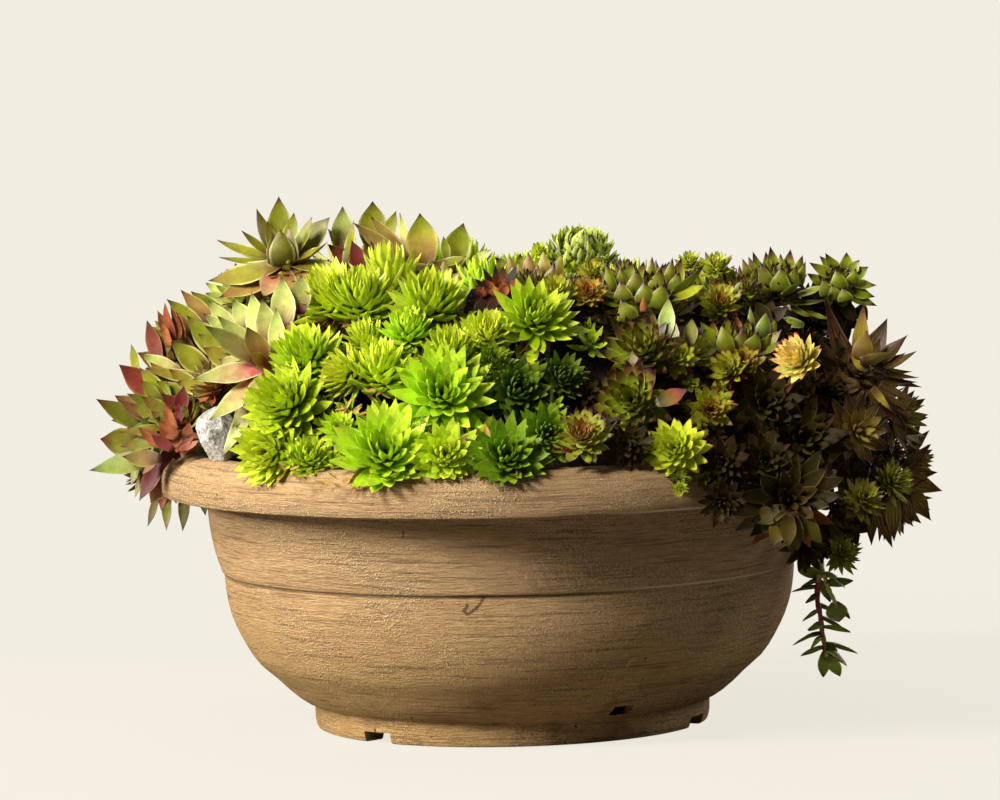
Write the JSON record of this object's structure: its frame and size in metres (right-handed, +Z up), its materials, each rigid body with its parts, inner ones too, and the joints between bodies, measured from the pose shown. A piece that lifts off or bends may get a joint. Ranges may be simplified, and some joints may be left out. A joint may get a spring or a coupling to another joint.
{
  "type": "potted hens and chicks succulent",
  "caption": "Mounded clump of hens and chicks rosettes with a trailing stonecrop sprig, overflowing a wide shallow bowl planter with a rolled rim.",
  "frame": {"origin": "on the surface the pot stands on, under the middle of the whole plant and pot", "axes": "+Z up; +X towards the side with the trailing sprig; -Y the front"},
  "size_m": [0.4698, 0.4182, 0.2984],
  "materials": {
    "pot_plastic": "matte moulded plastic with fine horizontal grain",
    "potting_soil": "rough, crumbly",
    "rock": "rough, speckled",
    "sedum_leaf": "satin, fleshy",
    "leaf_blue_green": "satin with a waxy bloom",
    "leaf_bright_green": "satin, fleshy",
    "leaf_gold": "satin, fleshy",
    "leaf_olive": "satin, fleshy",
    "leaf_bronze": "satin with a waxy bloom",
    "leaf_maroon": "satin, fleshy",
    "leaf_pale_green": "satin with pale hairy margins"
  },
  "bodies": {
    "root": {"pot": "pot_plastic", "soil": "potting_soil", "rock": "rock", "sedum_sprig": "sedum_leaf", "blue_hen_1": "leaf_blue_green", "blue_hen_10": "leaf_blue_green", "blue_hen_11": "leaf_blue_green", "blue_hen_12": "leaf_blue_green", "blue_hen_2": "leaf_blue_green", "blue_hen_3": "leaf_blue_green", "blue_hen_4": "leaf_blue_green", "blue_hen_5": "leaf_blue_green", "blue_hen_6": "leaf_blue_green", "blue_hen_7": "leaf_blue_green", "blue_hen_8": "leaf_blue_green", "blue_hen_9": "leaf_blue_green", "bronze_hen_1": "leaf_bronze", "bronze_hen_10": "leaf_bronze", "bronze_hen_2": "leaf_bronze", "bronze_hen_3": "leaf_bronze", "bronze_hen_4": "leaf_bronze", "bronze_hen_5": "leaf_bronze", "bronze_hen_6": "leaf_bronze", "bronze_hen_7": "leaf_bronze", "bronze_hen_8": "leaf_bronze", "bronze_hen_9": "leaf_bronze", "cobweb_hen_1": "leaf_pale_green", "gold_hen_1": "leaf_gold", "gold_hen_2": "leaf_gold", "green_hen_1": "leaf_bright_green", "green_hen_10": "leaf_bright_green", "green_hen_11": "leaf_bright_green", "green_hen_12": "leaf_bright_green", "green_hen_13": "leaf_bright_green", "green_hen_14": "leaf_bright_green", "green_hen_15": "leaf_bright_green", "green_hen_16": "leaf_bright_green", "green_hen_17": "leaf_bright_green", "green_hen_2": "leaf_bright_green", "green_hen_3": "leaf_bright_green", "green_hen_4": "leaf_bright_green", "green_hen_5": "leaf_bright_green", "green_hen_6": "leaf_bright_green", "green_hen_7": "leaf_bright_green", "green_hen_8": "leaf_bright_green", "green_hen_9": "leaf_bright_green", "maroon_hen_1": "leaf_maroon", "olive_hen_1": "leaf_olive", "olive_hen_10": "leaf_olive", "olive_hen_11": "leaf_olive", "olive_hen_12": "leaf_olive", "olive_hen_13": "leaf_olive", "olive_hen_2": "leaf_olive", "olive_hen_3": "leaf_olive", "olive_hen_4": "leaf_olive", "olive_hen_5": "leaf_olive", "olive_hen_6": "leaf_olive", "olive_hen_7": "leaf_olive", "olive_hen_8": "leaf_olive", "olive_hen_9": "leaf_olive"}
  },
  "joints": []
}
